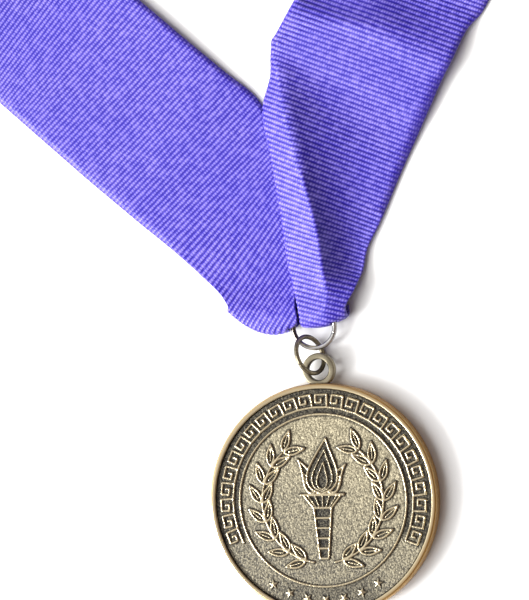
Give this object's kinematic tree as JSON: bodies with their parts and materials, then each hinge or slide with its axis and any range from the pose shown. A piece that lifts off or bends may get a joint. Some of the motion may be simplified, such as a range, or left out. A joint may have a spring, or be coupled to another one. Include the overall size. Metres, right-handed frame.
{
  "type": "souvenir medallion",
  "caption": "Round cast medallion with a raised wreath-and-torch design, hung by wire rings from a broad ribbed neck ribbon that lies as a whole loop.",
  "frame": {"origin": "centre of the medal's flat back", "axes": "+X to the right of the medal's face, +Y from the medal's centre through its cast loop towards the ribbon, +Z out of the face and up from the surface it lies on"},
  "size_m": [0.214, 0.359, 0.038],
  "materials": {
    "antique_brass": "antiqued, stippled ground, polished high spots",
    "dark_brass": "antiqued wire",
    "bright_nickel": "bright plated wire",
    "violet_grosgrain": "ribbed weave with a soft sheen"
  },
  "bodies": {
    "root": {"medal": "antique_brass", "medal_ring": "dark_brass", "ribbon_ring": "bright_nickel", "neck_ribbon": "violet_grosgrain"}
  },
  "joints": []
}
